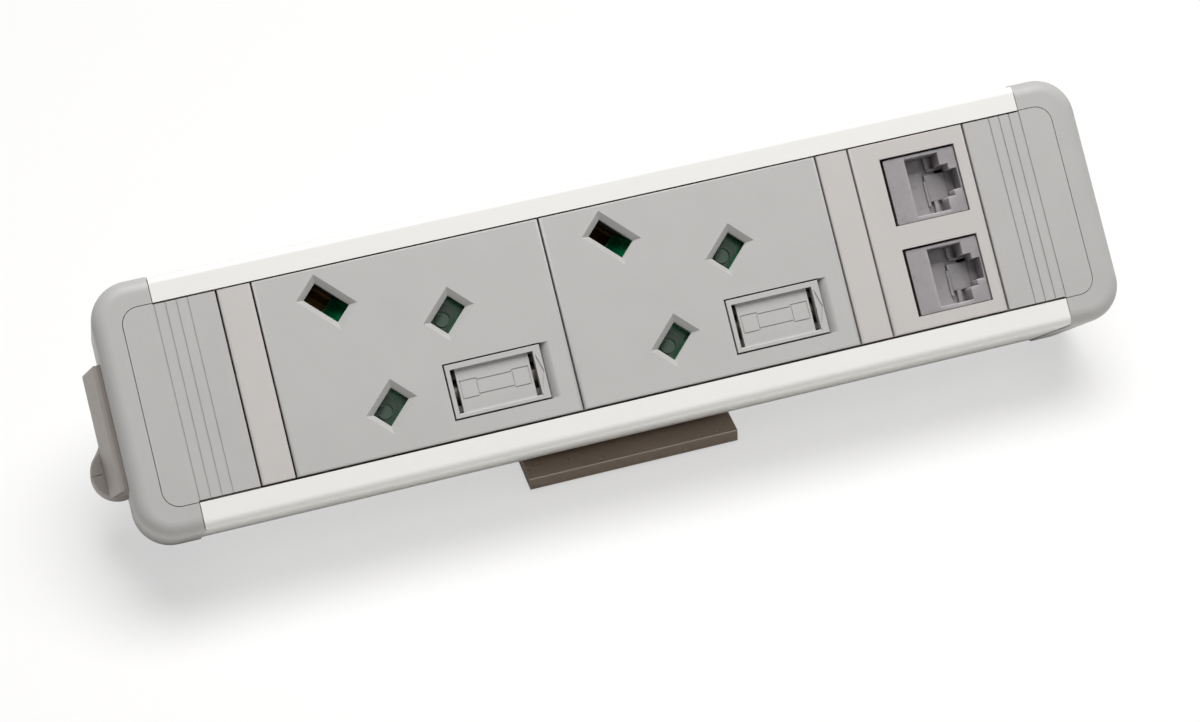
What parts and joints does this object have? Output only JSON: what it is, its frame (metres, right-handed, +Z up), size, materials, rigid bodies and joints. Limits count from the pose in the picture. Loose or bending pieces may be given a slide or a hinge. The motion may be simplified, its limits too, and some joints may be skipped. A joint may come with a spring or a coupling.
{
  "type": "desktop power module",
  "caption": "Long extruded desktop power module leaning back on a small foot, with shuttered mains sockets, fuse drawers, network jacks, round-cornered end caps and a side mains inlet",
  "frame": {"origin": "centre of the foot pad's underside, on the desk", "axes": "+X along the module to the data jacks, +Y to the back, +Z up; the face leans back 45 degrees"},
  "size_m": [0.2178, 0.0627, 0.0611],
  "materials": {
    "shell_white": "fine powder coat",
    "cap_grey": "fine moulded texture",
    "insert_grey": "fine moulded texture",
    "strip_grey": "fine moulded texture",
    "socket_grey": "light spark texture",
    "carrier_grey": "smooth moulded",
    "base_grey": "moulded",
    "shutter_green": "moulded",
    "brass": "rolled sheet",
    "gold_wire": "plated wire",
    "zinc_steel": "zinc plated",
    "fuse_ceramic": "glazed",
    "jack_grey": "smooth moulded",
    "inlet_grey": "moulded",
    "core_brown": "extruded insulation",
    "core_blue": "extruded insulation",
    "core_green": "extruded insulation",
    "foot_taupe": "satin paint",
    "pad_rubber": "smooth sheet"
  },
  "bodies": {
    "module": {"body_extrusion": "shell_white", "end_cap_left": "cap_grey", "end_cap_right": "cap_grey", "end_insert_left": "insert_grey", "end_insert_right": "insert_grey", "end_clamp_bar_left": "zinc_steel", "end_clamp_bar_right": "zinc_steel", "end_cap_screws": "zinc_steel", "blank_strip_left": "strip_grey", "blank_strip_right": "strip_grey", "data_plate": "strip_grey", "data_jack_upper": "jack_grey", "data_jack_lower": "jack_grey", "jack_cap_upper": "jack_grey", "jack_cap_lower": "jack_grey", "jack_contacts_upper": "gold_wire", "jack_contacts_lower": "gold_wire", "mains_inlet": "inlet_grey", "inlet_cover": "inlet_grey", "inlet_pins": "brass", "gland_upper_half": "inlet_grey", "gland_lower_half": "inlet_grey", "earth_core": "core_green", "line_core": "core_brown", "neutral_core": "core_blue", "earth_bond_tag": "brass", "earth_bond_screw": "zinc_steel", "socket_screws": "zinc_steel", "foot_plate": "foot_taupe", "tilt_bracket": "foot_taupe", "foot_pad": "pad_rubber", "slot_nuts": "zinc_steel", "bracket_screws": "zinc_steel", "foot_screws": "zinc_steel", "socket_front_1": "socket_grey", "socket_base_1": "base_grey", "shutter_spring_1": "zinc_steel", "earth_contact_1": "brass", "line_contact_1": "brass", "neutral_contact_1": "brass", "fuse_clips_1": "brass", "socket_front_2": "socket_grey", "socket_base_2": "base_grey", "shutter_spring_2": "zinc_steel", "earth_contact_2": "brass", "line_contact_2": "brass", "neutral_contact_2": "brass", "fuse_clips_2": "brass"},
    "shutter_slider_1": {"shutter_1": "shutter_green"},
    "fuse_drawer_1": {"fuse_carrier_1": "carrier_grey", "fuse_1": "fuse_ceramic"},
    "shutter_slider_2": {"shutter_2": "shutter_green"},
    "fuse_drawer_2": {"fuse_carrier_2": "carrier_grey", "fuse_2": "fuse_ceramic"}
  },
  "joints": [
    {"name": "shutter_slide_1", "type": "slide", "parent": "module", "child": "shutter_slider_1", "axis": [0.7071, -0.5, -0.5], "range_m": [0, 0.0049], "stiffness_N_per_m": 60, "springref_m": -0.003, "deforming": ["shutter_spring_1"]},
    {"name": "fuse_drawer_slide_1", "type": "slide", "parent": "module", "child": "fuse_drawer_1", "axis": [0, -0.7071, 0.7071], "range_m": [0, 0.009]},
    {"name": "shutter_slide_2", "type": "slide", "parent": "module", "child": "shutter_slider_2", "axis": [0.7071, -0.5, -0.5], "range_m": [0, 0.0049], "stiffness_N_per_m": 60, "springref_m": -0.003, "deforming": ["shutter_spring_2"]},
    {"name": "fuse_drawer_slide_2", "type": "slide", "parent": "module", "child": "fuse_drawer_2", "axis": [0, -0.7071, 0.7071], "range_m": [0, 0.009]}
  ]
}
